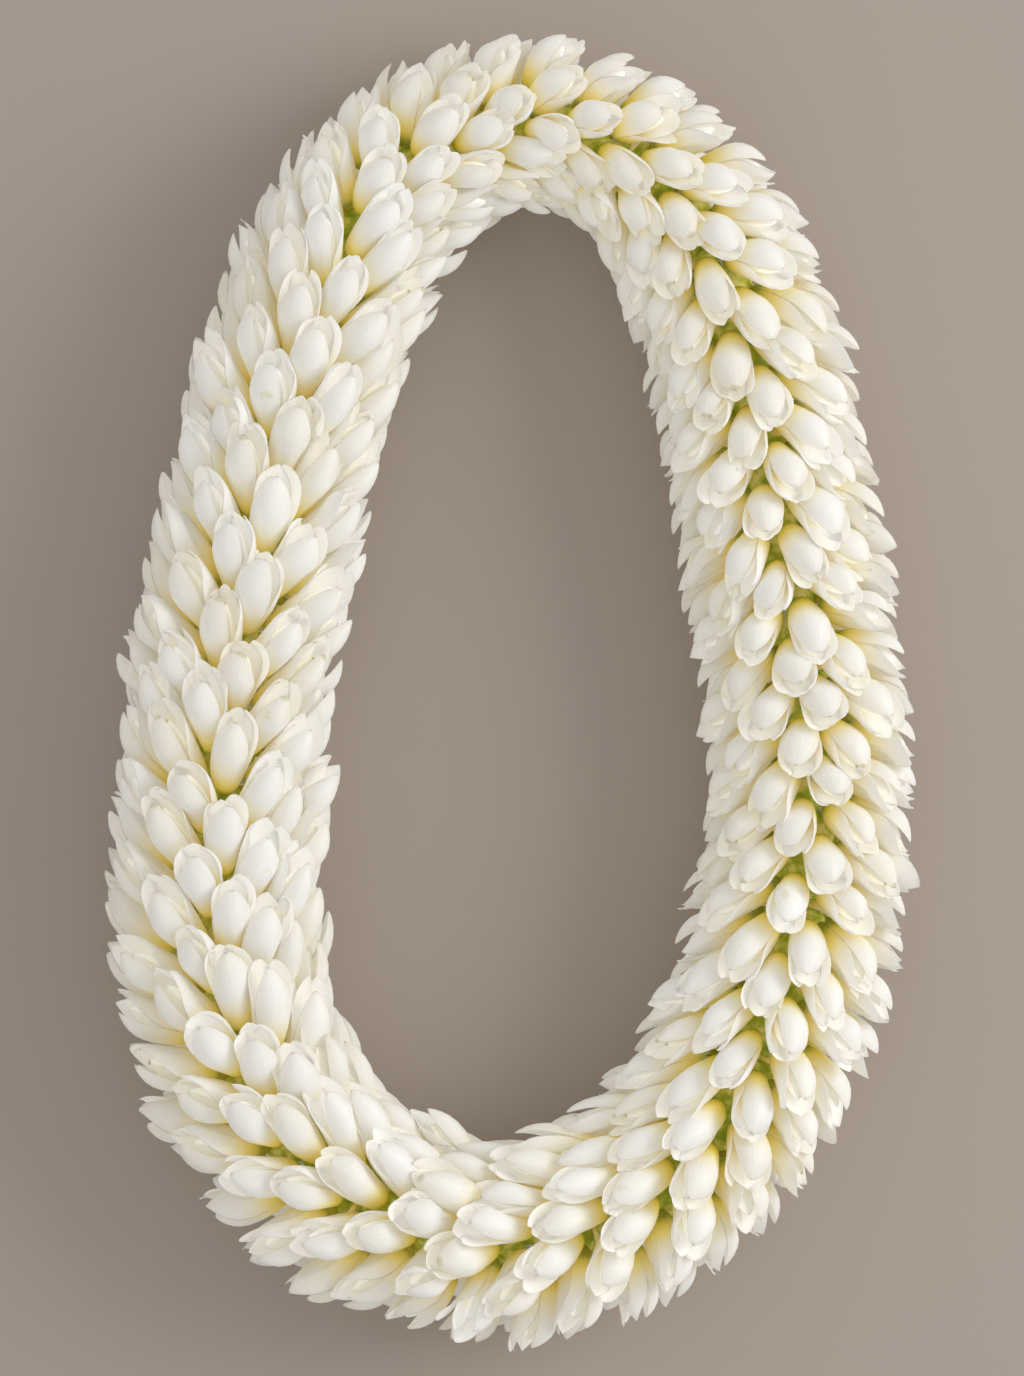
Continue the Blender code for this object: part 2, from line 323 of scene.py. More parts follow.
# The petals' thickness, and how far a head arches up from its axis, as a share of its half width
PETAL_THICKNESS = 0.7 * MM
TIP_THINNING = 0.55
CROWN_RISE = 0.20
RISE_LENGTH = 1.1

# The plain slips that the petals and tubes are bent from: the heights of their rows, their sides,
# how far up the petals' colours the tubes go, and how much the back's UV is shifted
FRONT_STATIONS = [0.0, 0.26, 0.52, 0.74, 0.90, 1.0]
HOOD_STATIONS = [0.0, 0.26, 0.50, 0.70, 0.84, 0.94, 1.0]
TUBE_STATIONS = [0.0, 0.5, 1.0]
FRONT_SIDES = 12
HOOD_SIDES = 8
INNER_SIDES = 6
TUBE_UV_TOP = 0.08
BACK_FACING = -0.01
BACK_SHIFT = 1.0

# Up the bud, as shares of the head's half width: half width and half depth at the front petal and
# at the hood, and the radius of the furled petals. HOOD_WIDTH is how much of its arc a hood petal
# covers.
HEIGHTS = [0.0, 0.12, 0.30, 0.50, 0.70, 0.84, 0.94, 1.0]
FRONT_SIDE = [0.62, 0.80, 0.96, 1.02, 1.06, 0.96, 0.68, 0.18]
FRONT_CROWN = [0.66, 0.82, 0.98, 1.02, 0.98, 0.78, 0.48, 0.10]
HOOD_SIDE = [0.58, 0.74, 0.90, 0.96, 1.00, 0.92, 0.72, 0.40]
HOOD_CROWN = [0.62, 0.76, 0.88, 0.88, 0.76, 0.54, 0.32, 0.12]
HOOD_WIDTH = [1.10, 1.10, 1.10, 1.10, 1.04, 0.86, 0.54, 0.05]
INNER_RADIUS = [0.30, 0.36, 0.50, 0.58, 0.54, 0.40, 0.24, 0.06]
INNER_TIP = 0.86

# Across the front petal from its middle to its rim, to the side and to the front, how high it
# reaches, and how wide it and the hood are by share of the way round
ACROSS = [0.0, 0.50, 0.866, 1.0]
FRONT_TO_SIDE = [0.0, 0.62, 0.92, 1.00]
FRONT_TO_CROWN = [1.0, 0.82, 0.46, 0.34]
FRONT_TIP = 0.94
SPOON_STATIONS = ((0.0, 0.1, 0.4, 0.5, 0.65, 0.9), (0.82, 0.88, 0.88, 0.86, 0.80, 0.80))
HOOD_WIDER = 0.08

# Each hood petal's turn about the bud and half its arc in degrees, girth, height, and how far its
# rims stand off
HOOD_PETALS = [(124, 62, 1.0, 1.0, 1.0), (-124, 62, 0.96, 0.97, 0.5), (180, 62, 0.90, 1.0, 0.2)]

# How the petals lie, with angles in degrees: how their tips part, turn and sway, how the whole
# head is twisted, and how their rims lift and wave and their faces dent. Waves are up a petal and
# across it. Stations are by share of the way round the lei.
PARTING = 8.0
TIP_TURN_STATIONS = ((0.0, 0.45, 0.6, 0.9), (0.0, 0.0, 22.0, 22.0))
TIP_SWAY = 2.0 * MM
TIP_POWER = 3
TWIST_STATIONS = ((0.0, 0.45, 0.6, 0.9), (0.0, 0.0, -14.0, -14.0))
TWIST_JITTER = 24.0
RIM_LIFT = 0.6 * MM
LIFT_SPREAD = (0.2, 1.4)
LIFT_END = 0.9
LIFT_LENGTH = 1.2
RUFFLE = 0.7 * MM
RUFFLE_WAVES = (9.0, 2.0)
DENT = 0.5 * MM
DENT_WAVES = (8.0, 3.4)

# How far the tips bend outward, in millimetres, and how many heads stand open
FLARE_STATIONS = ((0.0, 0.45, 0.6, 0.9), (0.9, 0.9, 0.7, 0.7))
SIDE_FLARE = 4.2
OPEN_STATIONS = ((0.0, 0.36, 0.40, 0.50, 0.56), (0.03, 0.03, 0.22, 0.22, 0.03))
OPEN_FLARE = 2.4
FLARE_SPREAD = (0.1, 1.2)
FLARE_POWER = 5
FRONT_FLARE_SHARE = 0.55

# How pointed the petals are and how high they reach, more so at the lei's sides
POINT = 0.2
SIDE_POINT = 0.45
POINT_POWER = 6
SIDE_TIP = 0.04
TIP_JITTER = 0.035

# How much further up than others a bud is yellow, and its tube's girth from root to neck, as shares
# of its height and of its half width
YELLOW_STATIONS = ((0.0, 0.45, 0.6, 0.9), (0.03, 0.03, -0.02, -0.02))
YELLOW_JITTER = 0.03
TUBE_GIRTH = 0.40
TUBE_WIDENING = 0.22
TUBE_OVERLAP = 0.06
GROWTH_SEED = 11


def slip_mesh(sides, stations, uv_top=1.0):
    """A closed prism as a mesh: its middle at x = 0, its rims at x = -1 and 1, its face at +y
    and its height in z cut at the stations. Its UV map holds x as 0 to 1, shifted at the back,
    and the height, up to uv_top."""
    bm = bmesh.new()
    uv_layer = bm.loops.layers.uv.new("petal")
    bmesh.ops.create_cone(
        bm, cap_ends=True, segments=sides, radius1=1, radius2=1, depth=1,
        matrix=Matrix.Translation((0, 0, 0.5)) @ Matrix.Rotation(math.pi / 2, 4, "Z"))
    uprights = [edge for edge in bm.edges if edge.verts[0].co.z != edge.verts[1].co.z]
    bmesh.ops.subdivide_edges(bm, edges=uprights, cuts=len(stations) - 2, use_grid_fill=True)
    even = np.linspace(0, 1, len(stations))
    for vert in bm.verts:
        vert.co.z = np.interp(vert.co.z, even, stations)
    bm.normal_update()
    for face in bm.faces:
        back = BACK_SHIFT if face.normal.y < BACK_FACING else 0.0
        for loop in face.loops:
            loop[uv_layer].uv = ((loop.vert.co.x + 1) / 2 + back, loop.vert.co.z * uv_top)
    mesh = bpy.data.meshes.new("slip")
    bm.to_mesh(mesh)
    bm.free()
    return mesh


def mesh_places(mesh):
    """A mesh's corner places as an array."""
    places = np.zeros(len(mesh.vertices) * 3)
    mesh.vertices.foreach_get("co", places)
    return places.reshape(-1, 3)


front_slip = slip_mesh(FRONT_SIDES, FRONT_STATIONS)
hood_slip = slip_mesh(HOOD_SIDES, HOOD_STATIONS)
inner_slip = slip_mesh(INNER_SIDES, FRONT_STATIONS)
tube_slip = slip_mesh(INNER_SIDES, TUBE_STATIONS, uv_top=TUBE_UV_TOP)


def on_bud(bud, on_crown, on_side, height):
    """Places on a bud, from their distances to its crown and side and their share of its length."""
    arch = np.sin(math.pi * np.minimum(height / RISE_LENGTH, 1)) ** 2
    rise = CROWN_RISE * bud["half_width"] * arch
    places = bud["neck"] + np.outer(height * bud["length"], bud["axis"])
    return places + np.outer(on_crown + rise, bud["crown"]) + np.outer(on_side, bud["side"])


def turned(on_crown, on_side, degrees):
    """Distances to the crown and the side after a turn about the bud."""
    turn = math.radians(degrees)
    return (on_crown * math.cos(turn) - on_side * math.sin(turn),
            on_crown * math.sin(turn) + on_side * math.cos(turn))


def flare(bud, height, rng):
    """How far a petal bends outward up its height. The heads at the lei's sides open more."""
    most = along_loop(FLARE_STATIONS, bud["share"]) + SIDE_FLARE * bud["sideness"]
    most += OPEN_FLARE * bud["open"]
    return most * rng.uniform(*FLARE_SPREAD) * MM * height ** FLARE_POWER


def dents(across, height, rng):
    """Shallow waves over a petal, for its uneven growth."""
    first, second = rng.uniform(0, 2 * math.pi), rng.uniform(0, 2 * math.pi)
    up, over = DENT_WAVES
    return DENT * np.sin(over * across + first) * np.sin(up * height + second)


def thickness(depth, height):
    """How far a petal's face stands off its middle. It thins towards the tip."""
    return depth * PETAL_THICKNESS / 2 * (1 - TIP_THINNING * height ** TIP_POWER)


def pointing(bud, height):
    """What is left of a petal's width up its height, as its tip draws to a point."""
    return 1 - (POINT + SIDE_POINT * bud["sideness"]) * height ** POINT_POWER


def tip_height(bud, rng):
    """How far up its bud a petal reaches."""
    return 1 + jitter(rng, TIP_JITTER) + SIDE_TIP * bud["sideness"]


def front_petal_places(bud, twist, rng):
    """Where the corners of the front petal's slip go on its bud."""
    across, depth, height = mesh_places(front_slip).T
    depth = depth / abs(depth).max()
    half_width = bud["half_width"]
    sway = jitter(rng, TIP_SWAY) * height ** TIP_POWER
    to_side = np.sign(across) * np.interp(abs(across), ACROSS, FRONT_TO_SIDE)
    to_side = to_side * along_loop(SPOON_STATIONS, bud["share"])
    to_side = to_side * np.interp(height, HEIGHTS, FRONT_SIDE) * half_width + sway
    to_side = to_side * pointing(bud, height)
    to_crown = np.interp(abs(across), ACROSS, FRONT_TO_CROWN)
    to_crown = to_crown * np.interp(height, HEIGHTS, FRONT_CROWN) * half_width
    to_crown = to_crown + thickness(depth, height)
    to_crown = to_crown + flare(bud, height, rng) * FRONT_FLARE_SHARE
    to_crown = to_crown + dents(across, height, rng)
    to_crown, to_side = turned(to_crown, to_side, twist)
    tip = FRONT_TIP * tip_height(bud, rng)
    return press(bud, on_bud(bud, to_crown, to_side, height * tip))


def hood_petal_places(bud, petal, twist, rng):
    """Where the corners of one hood petal's slip go on its bud."""
    turn, half_arc, girth, tip, looseness = petal
    across, depth, height = mesh_places(hood_slip).T
    depth = depth / abs(depth).max()
    half_width = bud["half_width"]
    side_of = np.sign(turn) if turn % 180 else 0
    lift = looseness * rng.uniform(*LIFT_SPREAD) * RIM_LIFT
    phase = rng.uniform(0, 2 * math.pi)
    sway = jitter(rng, TIP_SWAY)
    tip = tip * tip_height(bud, rng)

    rim = np.maximum(-across * side_of, 0) ** 2 if side_of else across ** 2
    up, over = RUFFLE_WAVES
    proud = flare(bud, height, rng) + dents(across, height, rng) + thickness(depth, height)
    proud = proud + lift * rim * np.sin(math.pi * np.minimum(height, LIFT_END) / LIFT_LENGTH)
    proud = proud + RUFFLE * across ** 2 * height * np.sin(up * height + over * across + phase)
    half_arcs = np.interp(height, HEIGHTS, HOOD_WIDTH) * pointing(bud, height) * half_arc
    tip_turn = along_loop(TIP_TURN_STATIONS, bud["share"]) + side_of * PARTING
    angle = np.radians(across * half_arcs + turn + tip_turn * height ** TIP_POWER)
    angle = angle + sway / half_width * height ** TIP_POWER
    girths = girth * half_width
    wideness = along_loop(SPOON_STATIONS, bud["share"]) + HOOD_WIDER
    to_crown = np.cos(angle) * (np.interp(height, HEIGHTS, HOOD_CROWN) * girths + proud)
    to_side = np.sin(angle) * (np.interp(height, HEIGHTS, HOOD_SIDE) * wideness * girths + proud)
    to_crown, to_side = turned(to_crown, to_side, twist)
    return press(bud, on_bud(bud, to_crown, to_side, height * tip))


def inner_bud_places(bud, twist):
    """Where the corners of the furled inner petals' slip go on their bud."""
    across, depth, height = mesh_places(inner_slip).T
    turns = np.arctan2(across, depth) + math.radians(twist)
    radius = np.interp(height, HEIGHTS, INNER_RADIUS) * bud["half_width"]
    return on_bud(bud, np.cos(turns) * radius, np.sin(turns) * radius, height * INNER_TIP)


def tube_places(bud):
    """Where the corners of the tube's slip go, from the root in the core to the neck."""
    across, depth, height = mesh_places(tube_slip).T
    radius = bud["half_width"] * (TUBE_GIRTH + TUBE_WIDENING * height)
    end = bud["neck"] + bud["axis"] * bud["length"] * TUBE_OVERLAP
    spine = bud["root"] + np.outer(height, end - bud["root"])
    return spine + np.outer(across * radius, bud["side"]) + np.outer(depth * radius, bud["crown"])


def add_copy(bm, mesh, places, marks):
    """A copy of a mesh put into a bmesh, with its corners at new places, none of them below the
    surface that the lei lies on, and with the values of its marks."""
    first = len(bm.verts)
    bm.from_mesh(mesh)
    bm.verts.ensure_lookup_table()
    for index, place in enumerate(places):
        vert = bm.verts[first + index]
        vert.co = (place[0], place[1], max(place[2], 0.0))
        for layer, value in marks.items():
            vert[layer] = value


def finished_piece(name, bm, material, levels):
    """An object at the origin from a bmesh, smooth and with live subdivision."""
    mesh = bpy.data.meshes.new(name)
    bm.to_mesh(mesh)
    bm.free()
    mesh.shade_smooth()
    mesh.materials.append(material)
    piece = bpy.data.objects.new(name, mesh)
    bpy.context.scene.collection.objects.link(piece)
    if levels:
        smooth = piece.modifiers.new("Smooth", "SUBSURF")
        smooth.levels = smooth.render_levels = levels
    return piece


def linear(hex_colour):
    """An sRGB hex colour as linear RGBA."""
    channels = [int(hex_colour[place:place + 2], 16) / 255 for place in (1, 3, 5)]
    bent = [c / 12.92 if c <= 0.04045 else ((c + 0.055) / 1.055) ** 2.4 for c in channels]
    return (*bent, 1.0)


def new_material(name):
    """A material with its shader."""
    material = bpy.data.materials.new(name)
    material.use_nodes = True
    return material, material.node_tree.nodes["Principled BSDF"]


def feed(material, node, sources):
    """A node's sockets, each set to a value or linked to another node's output."""
    for socket, source in sources.items():
        if isinstance(source, bpy.types.NodeSocket):
            material.node_tree.links.new(source, node.inputs[socket])
        else:
            node.inputs[socket].default_value = source


def add_node(material, kind, settings, sources):
    """A node with its settings, and its sockets set or linked."""
    node = material.node_tree.nodes.new(kind)
    for name, value in settings.items():
        setattr(node, name, value)
    feed(material, node, sources)
    return node


def set_ramp(node, stops):
    """A colour ramp's stops, as places and hex colours."""
    ramp = node.color_ramp
    while len(ramp.elements) > 1:
        ramp.elements.remove(ramp.elements[-1])
    ramp.elements[0].position = stops[0][0]
    ramp.elements[0].color = linear(stops[0][1])
    for place, colour in stops[1:]:
        ramp.elements.new(place).color = linear(colour)


# Fresh waxy petal: thick white tissue full of water, satin on top, with light soaking through it.
# It is cream towards the base and leaf green where it joins the tube, and its rims are thin and
# faintly yellow. The darker, yellower base is partly the petal's own colour and partly painted
# shade for the creases between the heads. The glow stops are painted light: a glow that stands in
# for light soaking through the petals and bouncing into their creases, and a stronger painted glow
# on their inner and back faces.
PETAL_AND_CREASE_SHADE_STOPS = [
    (0.00, "#858a1e"), (0.07, "#a6a02a"), (0.16, "#dcc546"), (0.29, "#f2df88"), (0.45, "#f9f3d8"),
    (0.64, "#fdfbf7")]
PAINTED_GLOW_STOPS = [
    (0.00, "#62661c"), (0.07, "#7e7a26"), (0.16, "#a8953c"), (0.29, "#a5955e"), (0.45, "#867f6a"),
    (0.64, "#5f5e5b")]
PAINTED_BACK_GLOW = "#b2b1ac"
RIM_TINT = "#f2e4ae"
OLD_TINT = "#f8f1df"
BRUISE = "#c6c286"
TIP_DOT = "#b5aa62"

# Where each of these tints begins and is full, and how deep it goes: outwards from the middle of a
# petal, in the densest of the blots, and at the very tips of those buds whose own tint is high
PETAL_MIDDLE = 0.5
RIM_FROM = 0.475
RIM_TO = 0.5
RIM_DEPTH = 0.8
BRUISE_FROM = 0.71
BRUISE_TO = 0.80
BRUISE_DEPTH = 0.7
TIP_FROM = 0.97
TIP_TO = 0.99
TIP_DEPTH = 0.7
DOTTED_TINT = 0.88

# Sizes of the patterns, with veins that run up each petal. Real veins lie closer, about 0.4 mm
# apart: these are as coarse as they need to be to show.
CLOUD_SIZE = 6.25 * MM
BLOT_SIZE = 13.33 * MM
VEIN_SPACING = 1.044 * MM
VEIN_LENGTH = 27.5 * MM
VEIN_HEIGHT = 0.3 * MM
VEIN_STRENGTH = 0.7
SOFT_DETAIL = 2.0
FINE_DETAIL = 3.0

# The tissue itself: satin, little denser than water, and soaked by light of all colours alike
PETAL_ROUGHNESS = 0.45
PETAL_IOR = 1.4
SOAK_WEIGHT = 0.7
SOAK_EVEN = (1.0, 1.0, 1.0)
SOAK_DEPTH = 2.5 * MM
# How strongly the petals glow with painted light, which stands in for light through them and into
# their creases
PAINTED_GLOW_STRENGTH = 0.30

# The sockets of a colour mix: its share, its two colours, and what comes out
MIX_SHARE, MIX_FROM, MIX_TO, MIX_OUT = 0, 6, 7, 2


def petal_colour(material, parts, height):
    """The petals' colour: green to white up each one, its darker base partly painted shade for the
    creases between the heads, then its rims, age, bruises and tip.
    """
    upward = add_node(material, "ShaderNodeValToRGB", {}, {"Fac": height.outputs[0]})
    # Partly painted shade: each petal is darker and yellower towards its base, where the creases
    # between the heads are.
    set_ramp(upward, PETAL_AND_CREASE_SHADE_STOPS)
    across = add_node(material, "ShaderNodeMath", {"operation": "FRACT"}, {0: parts.outputs["X"]})
    offset = add_node(material, "ShaderNodeMath", {"operation": "SUBTRACT"},
                      {0: across.outputs[0], 1: PETAL_MIDDLE})
    from_middle = add_node(material, "ShaderNodeMath", {"operation": "ABSOLUTE"},
                           {0: offset.outputs[0]})
    rim = add_node(material, "ShaderNodeMapRange", {"interpolation_type": "SMOOTHSTEP"},
                   {"Value": from_middle.outputs[0], "From Min": RIM_FROM, "From Max": RIM_TO,
                    "To Max": RIM_DEPTH})
    rimmed = add_node(material, "ShaderNodeMix", {"data_type": "RGBA"},
                      {MIX_SHARE: rim.outputs[0], MIX_FROM: upward.outputs["Color"],
                       MIX_TO: linear(RIM_TINT)})

    place = add_node(material, "ShaderNodeTexCoord", {}, {})
    clouds = add_node(material, "ShaderNodeTexNoise", {},
                      {"Vector": place.outputs["Object"], "Scale": 1 / CLOUD_SIZE,
                       "Detail": SOFT_DETAIL})
    own = add_node(material, "ShaderNodeAttribute", {"attribute_name": "tint"}, {})
    age = add_node(material, "ShaderNodeMath", {"operation": "MULTIPLY"},
                   {0: own.outputs["Fac"], 1: clouds.outputs["Fac"]})
    aged = add_node(material, "ShaderNodeMix", {"data_type": "RGBA", "blend_type": "MULTIPLY"},
                    {MIX_SHARE: age.outputs[0], MIX_FROM: rimmed.outputs[MIX_OUT],
                     MIX_TO: linear(OLD_TINT)})
    blots = add_node(material, "ShaderNodeTexNoise", {},
                     {"Vector": place.outputs["Object"], "Scale": 1 / BLOT_SIZE,
                      "Detail": FINE_DETAIL})
    bruise = add_node(material, "ShaderNodeMapRange", {},
                      {"Value": blots.outputs["Fac"], "From Min": BRUISE_FROM,
                       "From Max": BRUISE_TO, "To Max": BRUISE_DEPTH})
    bruised = add_node(material, "ShaderNodeMix", {"data_type": "RGBA"},
                       {MIX_SHARE: bruise.outputs[0], MIX_FROM: aged.outputs[MIX_OUT],
                        MIX_TO: linear(BRUISE)})

    tip = add_node(material, "ShaderNodeMapRange", {},
                   {"Value": parts.outputs["Y"], "From Min": TIP_FROM, "From Max": TIP_TO,
                    "To Max": TIP_DEPTH})
    dotted = add_node(material, "ShaderNodeMath", {"operation": "GREATER_THAN"},
                      {0: own.outputs["Fac"], 1: DOTTED_TINT})
    dot = add_node(material, "ShaderNodeMath", {"operation": "MULTIPLY"},
                   {0: tip.outputs[0], 1: dotted.outputs[0]})
    tipped = add_node(material, "ShaderNodeMix", {"data_type": "RGBA"},
                      {MIX_SHARE: dot.outputs[0], MIX_FROM: bruised.outputs[MIX_OUT],
                       MIX_TO: linear(TIP_DOT)})
    return tipped.outputs[MIX_OUT]


def petal_veins(material, uv):
    """Fine veins up each petal, across its own UV map."""
    across, along = 2 * HEAD_HALF_WIDTH / VEIN_SPACING, BUD_MAX_LENGTH / VEIN_LENGTH
    stretch = add_node(material, "ShaderNodeMapping", {},
                       {"Vector": uv.outputs["UV"], "Scale": (across, along, 1.0)})
    veins = add_node(material, "ShaderNodeTexNoise", {},
                     {"Vector": stretch.outputs["Vector"], "Scale": 1.0, "Detail": SOFT_DETAIL})
    relief = add_node(material, "ShaderNodeBump", {},
                      {"Strength": VEIN_STRENGTH, "Distance": VEIN_HEIGHT,
                       "Height": veins.outputs["Fac"]})
    return relief.outputs["Normal"]


def painted_petal_glow(material, parts, height):
    """Painted light: a glow that stands in for the light coming through the petals and bouncing
    into their creases, more of it on their inner and back faces.
    """
    upward = add_node(material, "ShaderNodeValToRGB", {}, {"Fac": height.outputs[0]})
    set_ramp(upward, PAINTED_GLOW_STOPS)
    back = add_node(material, "ShaderNodeMath", {"operation": "GREATER_THAN"},
                    {0: parts.outputs["X"], 1: BACK_SHIFT})
    glow = add_node(material, "ShaderNodeMix", {"data_type": "RGBA"},
                    {MIX_SHARE: back.outputs[0], MIX_FROM: upward.outputs["Color"],
                     MIX_TO: linear(PAINTED_BACK_GLOW)})
    return glow.outputs[MIX_OUT]


def waxy_petal():
    """The petals' material, along and across each petal's own UV map. Each bud's own "yellow"
    says how much further up its petals are yellow."""
    material, shader = new_material("waxy_white_petal")
    uv = add_node(material, "ShaderNodeUVMap", {"uv_map": "petal"}, {})
    parts = add_node(material, "ShaderNodeSeparateXYZ", {}, {"Vector": uv.outputs["UV"]})
    yellow = add_node(material, "ShaderNodeAttribute", {"attribute_name": "yellow"}, {})
    height = add_node(material, "ShaderNodeMath", {"operation": "SUBTRACT"},
                      {0: parts.outputs["Y"], 1: yellow.outputs["Fac"]})
    feed(material, shader, {
        "Base Color": petal_colour(material, parts, height),
        "Normal": petal_veins(material, uv),
        # Painted light: the petals glow, as if light came through them and into their creases.
        "Emission Color": painted_petal_glow(material, parts, height),
        "Emission Strength": PAINTED_GLOW_STRENGTH,
        "Roughness": PETAL_ROUGHNESS,
        "IOR": PETAL_IOR,
        "Subsurface Weight": SOAK_WEIGHT,
        "Subsurface Radius": SOAK_EVEN,
        "Subsurface Scale": SOAK_DEPTH,
    })
    return material


petal_material = waxy_petal()
growth = random.Random(GROWTH_SEED)
first_bud = 0
for number, whorls in enumerate(BUNCH_WHORLS, start=1):
    bm = bmesh.new()
    bm.loops.layers.uv.new("petal")
    bm.verts.layers.float.new("tint")
    bm.verts.layers.float.new("yellow")
    tint_layer = bm.verts.layers.float["tint"]
    yellow_layer = bm.verts.layers.float["yellow"]
    for bud in buds[first_bud:first_bud + whorls * BUDS_PER_WHORL]:
        yellow = along_loop(YELLOW_STATIONS, bud["share"]) + jitter(growth, YELLOW_JITTER)
        marks = {tint_layer: growth.random(), yellow_layer: yellow}
        twist = along_loop(TWIST_STATIONS, bud["share"]) + jitter(growth, TWIST_JITTER)
        bud["open"] = growth.random() < along_loop(OPEN_STATIONS, bud["share"])
        add_copy(bm, tube_slip, tube_places(bud), marks)
        add_copy(bm, inner_slip, inner_bud_places(bud, twist), marks)
        add_copy(bm, front_slip, front_petal_places(bud, twist, growth), marks)
        for petal in HOOD_PETALS:
            add_copy(bm, hood_slip, hood_petal_places(bud, petal, twist, growth), marks)
    first_bud += whorls * BUDS_PER_WHORL
    bunch = finished_piece(f"petals_{number:02d}", bm, petal_material, levels=1)
    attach(bunch, "root")
    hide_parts(f"buds_{number:02d}")


# Packed core: the green ends of the tubes are crowded round the thread, so nothing of it shows
# between the heads. It is one lumpy, mottled sleeve to each bunch.
CORE_SIDES = 14
CORE_ROWS = 9
CORE_RADIUS_SHARE = 0.31
CORE_LUMP = 1.3 * MM
CORE_STOPS = [(0.35, "#8a9a20"), (0.50, "#b4b93c"), (0.64, "#e0d67c")]
CORE_BLOTCH = 4.545 * MM
# The core glows with painted light, so that its shaded gaps are green and not black
CORE_PAINTED_GLOW = 0.14
CORE_ROUGHNESS = 0.6


def core_places(first_whorl, whorls, slip, rng):
    """Where the corners of a bunch's sleeve go round the thread."""
    across, depth, height = mesh_places(slip).T
    turns = np.arctan2(across, depth)
    places = []
    for turn, share in zip(turns, height):
        centre, _, outward = frame_at((first_whorl + share * whorls) * WHORL_PITCH)
        radius = reach_at(centre[1]) * CORE_RADIUS_SHARE + jitter(rng, CORE_LUMP)
        places.append(centre + (UP * math.cos(turn) + outward * math.sin(turn)) * radius)
    return np.array(places)


def leafy_core():
    """The core's material: young green tube ends, each as wide as a blotch. They are soft and
    matte, and glow a little with painted light that stands in for light through them, so that the
    gaps in shade are green and not black."""
    material, shader = new_material("green_tube_ends")
    place = add_node(material, "ShaderNodeTexCoord", {}, {})
    blotches = add_node(material, "ShaderNodeTexNoise", {},
                        {"Vector": place.outputs["Object"], "Scale": 1 / CORE_BLOTCH,
                         "Detail": FINE_DETAIL})
    tint = add_node(material, "ShaderNodeValToRGB", {}, {"Fac": blotches.outputs["Fac"]})
    set_ramp(tint, CORE_STOPS)
    feed(material, shader, {
        "Base Color": tint.outputs["Color"],
        # Painted light: the core glows in its own colours.
        "Emission Color": tint.outputs["Color"],
        "Emission Strength": CORE_PAINTED_GLOW,
        "Roughness": CORE_ROUGHNESS,
    })
    return material


core_material = leafy_core()
core_slip = slip_mesh(CORE_SIDES, np.linspace(0, 1, CORE_ROWS))
first_whorl = 0
for number, whorls in enumerate(BUNCH_WHORLS, start=1):
    bm = bmesh.new()
    add_copy(bm, core_slip, core_places(first_whorl, whorls, core_slip, growth), {})
    first_whorl += whorls
    core = finished_piece(f"core_{number:02d}", bm, core_material, levels=1)
    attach(core, "root")
    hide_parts(f"buds_{number:02d}")
    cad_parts[f"bases_{number:02d}"].material_slots[0].material = core_material


# Thread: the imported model's own loop of white cotton, two strands twisted together, which the
# tubes hide. The twist shows as slanting bands, and the fibres as a fine fuzz.
TWIST_PITCH = 2.4 * MM
TWIST_HEIGHT = 0.2 * MM
TWIST_STRENGTH = 0.6
FUZZ = 0.6
# Cotton colour, with painted shade in the grooves between the strands
COTTON_AND_GROOVE_SHADE_STOPS = [(0.0, "#b9ad94"), (0.35, "#e6dec9"), (1.0, "#f6f1e4")]
COTTON_ROUGHNESS = 0.85
DIAGONAL_RATE = 10.0


def cotton_thread():
    """The thread's material: pale cotton, lower between its strands and darker there, which is
    painted shade in the grooves. A diagonal band takes DIAGONAL_RATE radians for each unit of the
    wave's scale."""
    material, shader = new_material("twisted_cotton_thread")
    place = add_node(material, "ShaderNodeTexCoord", {}, {})
    strands = add_node(material, "ShaderNodeTexWave", {"bands_direction": "DIAGONAL"},
                       {"Vector": place.outputs["Object"], "Distortion": FUZZ,
                        "Scale": 2 * math.pi / (DIAGONAL_RATE * TWIST_PITCH),
                        "Detail": SOFT_DETAIL})
    # Painted shade: the ramp darkens the grooves between the strands.
    tint = add_node(material, "ShaderNodeValToRGB", {}, {"Fac": strands.outputs["Fac"]})
    set_ramp(tint, COTTON_AND_GROOVE_SHADE_STOPS)
    relief = add_node(material, "ShaderNodeBump", {},
                      {"Strength": TWIST_STRENGTH, "Distance": TWIST_HEIGHT,
                       "Height": strands.outputs["Fac"]})
    feed(material, shader, {
        "Base Color": tint.outputs["Color"],
        "Normal": relief.outputs["Normal"],
        "Roughness": COTTON_ROUGHNESS,
    })
    return material


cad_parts["thread"].material_slots[0].material = cotton_thread()


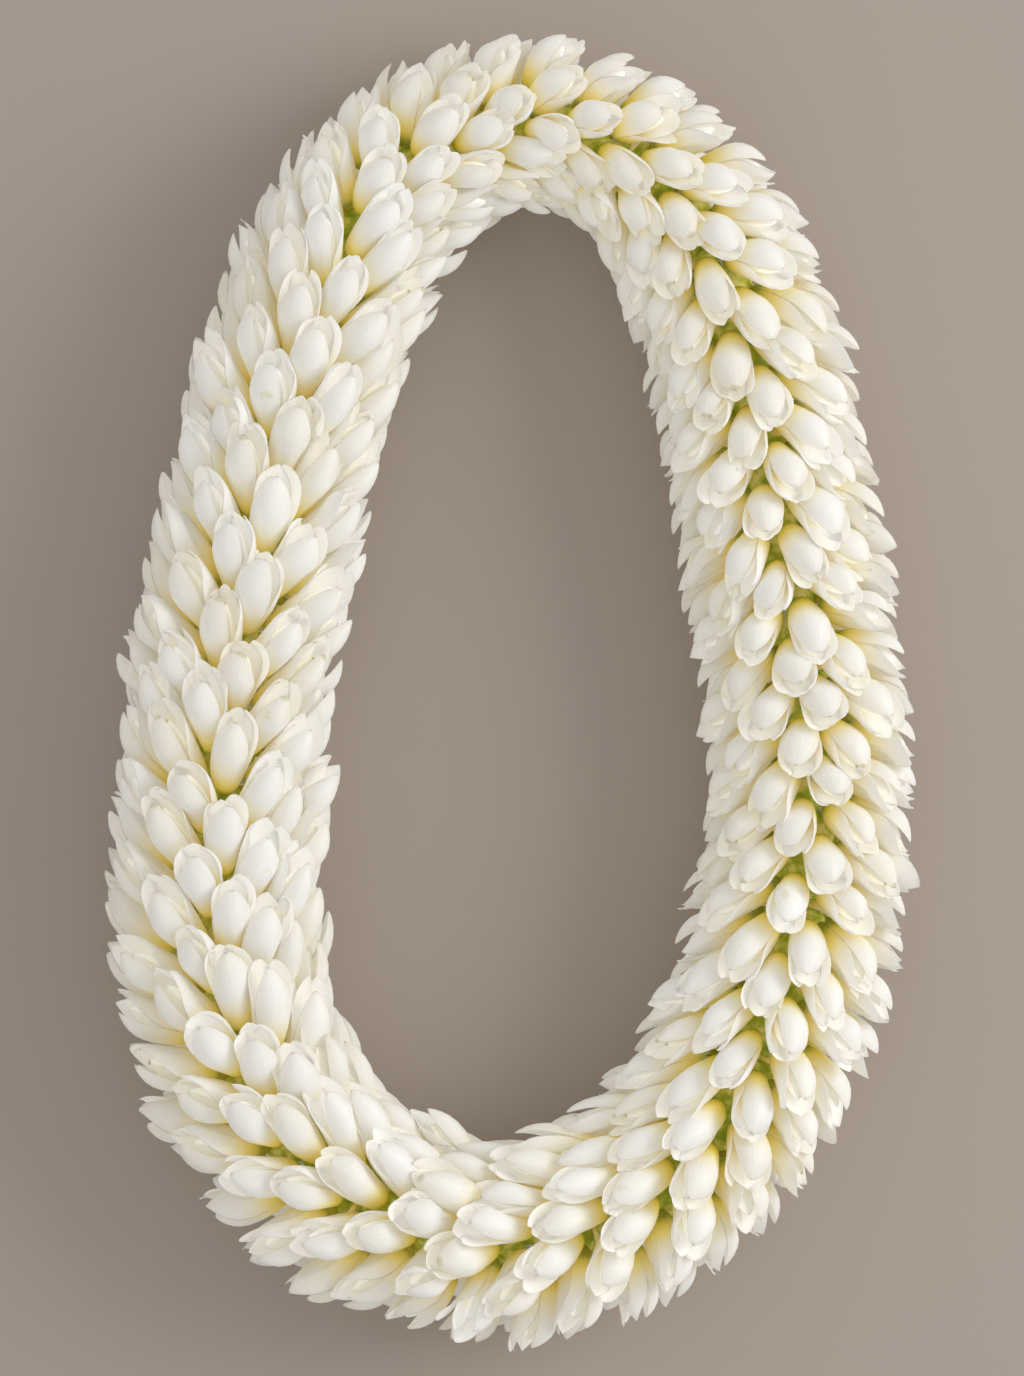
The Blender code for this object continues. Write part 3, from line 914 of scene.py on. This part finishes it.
# Studio: a plain pale floor, an even white sky and one wide soft light from the upper right, and a
# camera that looks straight down on the laid lei. The floor is matte board: it takes the lei's soft
# shadow and has no shine of its own.
FLOOR_SIDE = 14.0
FLOOR_BELOW = 0.2 * MM
FLOOR_COLOUR = "#ab9f94"
FLOOR_ROUGHNESS = 0.9
KEY_LIGHT_PLACE = Vector((1.7, 0.4, 1.1))
KEY_LIGHT_SIDE = 1.2
KEY_LIGHT_WATTS = 21
SKY_COLOUR = "#ffffff"
SKY_STRENGTH = 0.68
CAMERA_HEIGHT = 1.7
MM_PER_PIXEL = 0.36
IMAGE_HEIGHT = 1376
SENSOR = 36.0

bm = bmesh.new()
bmesh.ops.create_grid(
    bm, x_segments=1, y_segments=1, size=FLOOR_SIDE / 2,
    matrix=Matrix.Translation((0, 0, -FLOOR_BELOW)))
floor_material, floor_shader = new_material("matte_pale_floor")
feed(floor_material, floor_shader,
     {"Base Color": linear(FLOOR_COLOUR), "Roughness": FLOOR_ROUGHNESS})
floor = finished_piece("floor", bm, floor_material, levels=0)

key_light = bpy.data.lights.new("key_light", "AREA")
key_light.size = KEY_LIGHT_SIDE
key_light.energy = KEY_LIGHT_WATTS
softbox = bpy.data.objects.new("key_light", key_light)
softbox.location = KEY_LIGHT_PLACE
softbox.rotation_euler = (-KEY_LIGHT_PLACE).to_track_quat("-Z", "Y").to_euler()
bpy.context.scene.collection.objects.link(softbox)

world = bpy.data.worlds.new("studio")
world.use_nodes = True
sky = world.node_tree.nodes["Background"]
sky.inputs["Color"].default_value = linear(SKY_COLOUR)
sky.inputs["Strength"].default_value = SKY_STRENGTH
bpy.context.scene.world = world
bpy.context.scene.view_settings.view_transform = "Standard"

middle_height = (cad_low.z + cad_high.z) / 2
camera_data = bpy.data.cameras.new("camera")
camera_data.sensor_width = SENSOR
camera_data.lens = SENSOR * CAMERA_HEIGHT / (IMAGE_HEIGHT * MM_PER_PIXEL * MM)
camera = bpy.data.objects.new("camera", camera_data)
camera.location = (0, 0, middle_height + CAMERA_HEIGHT)
bpy.context.scene.collection.objects.link(camera)
bpy.context.scene.camera = camera
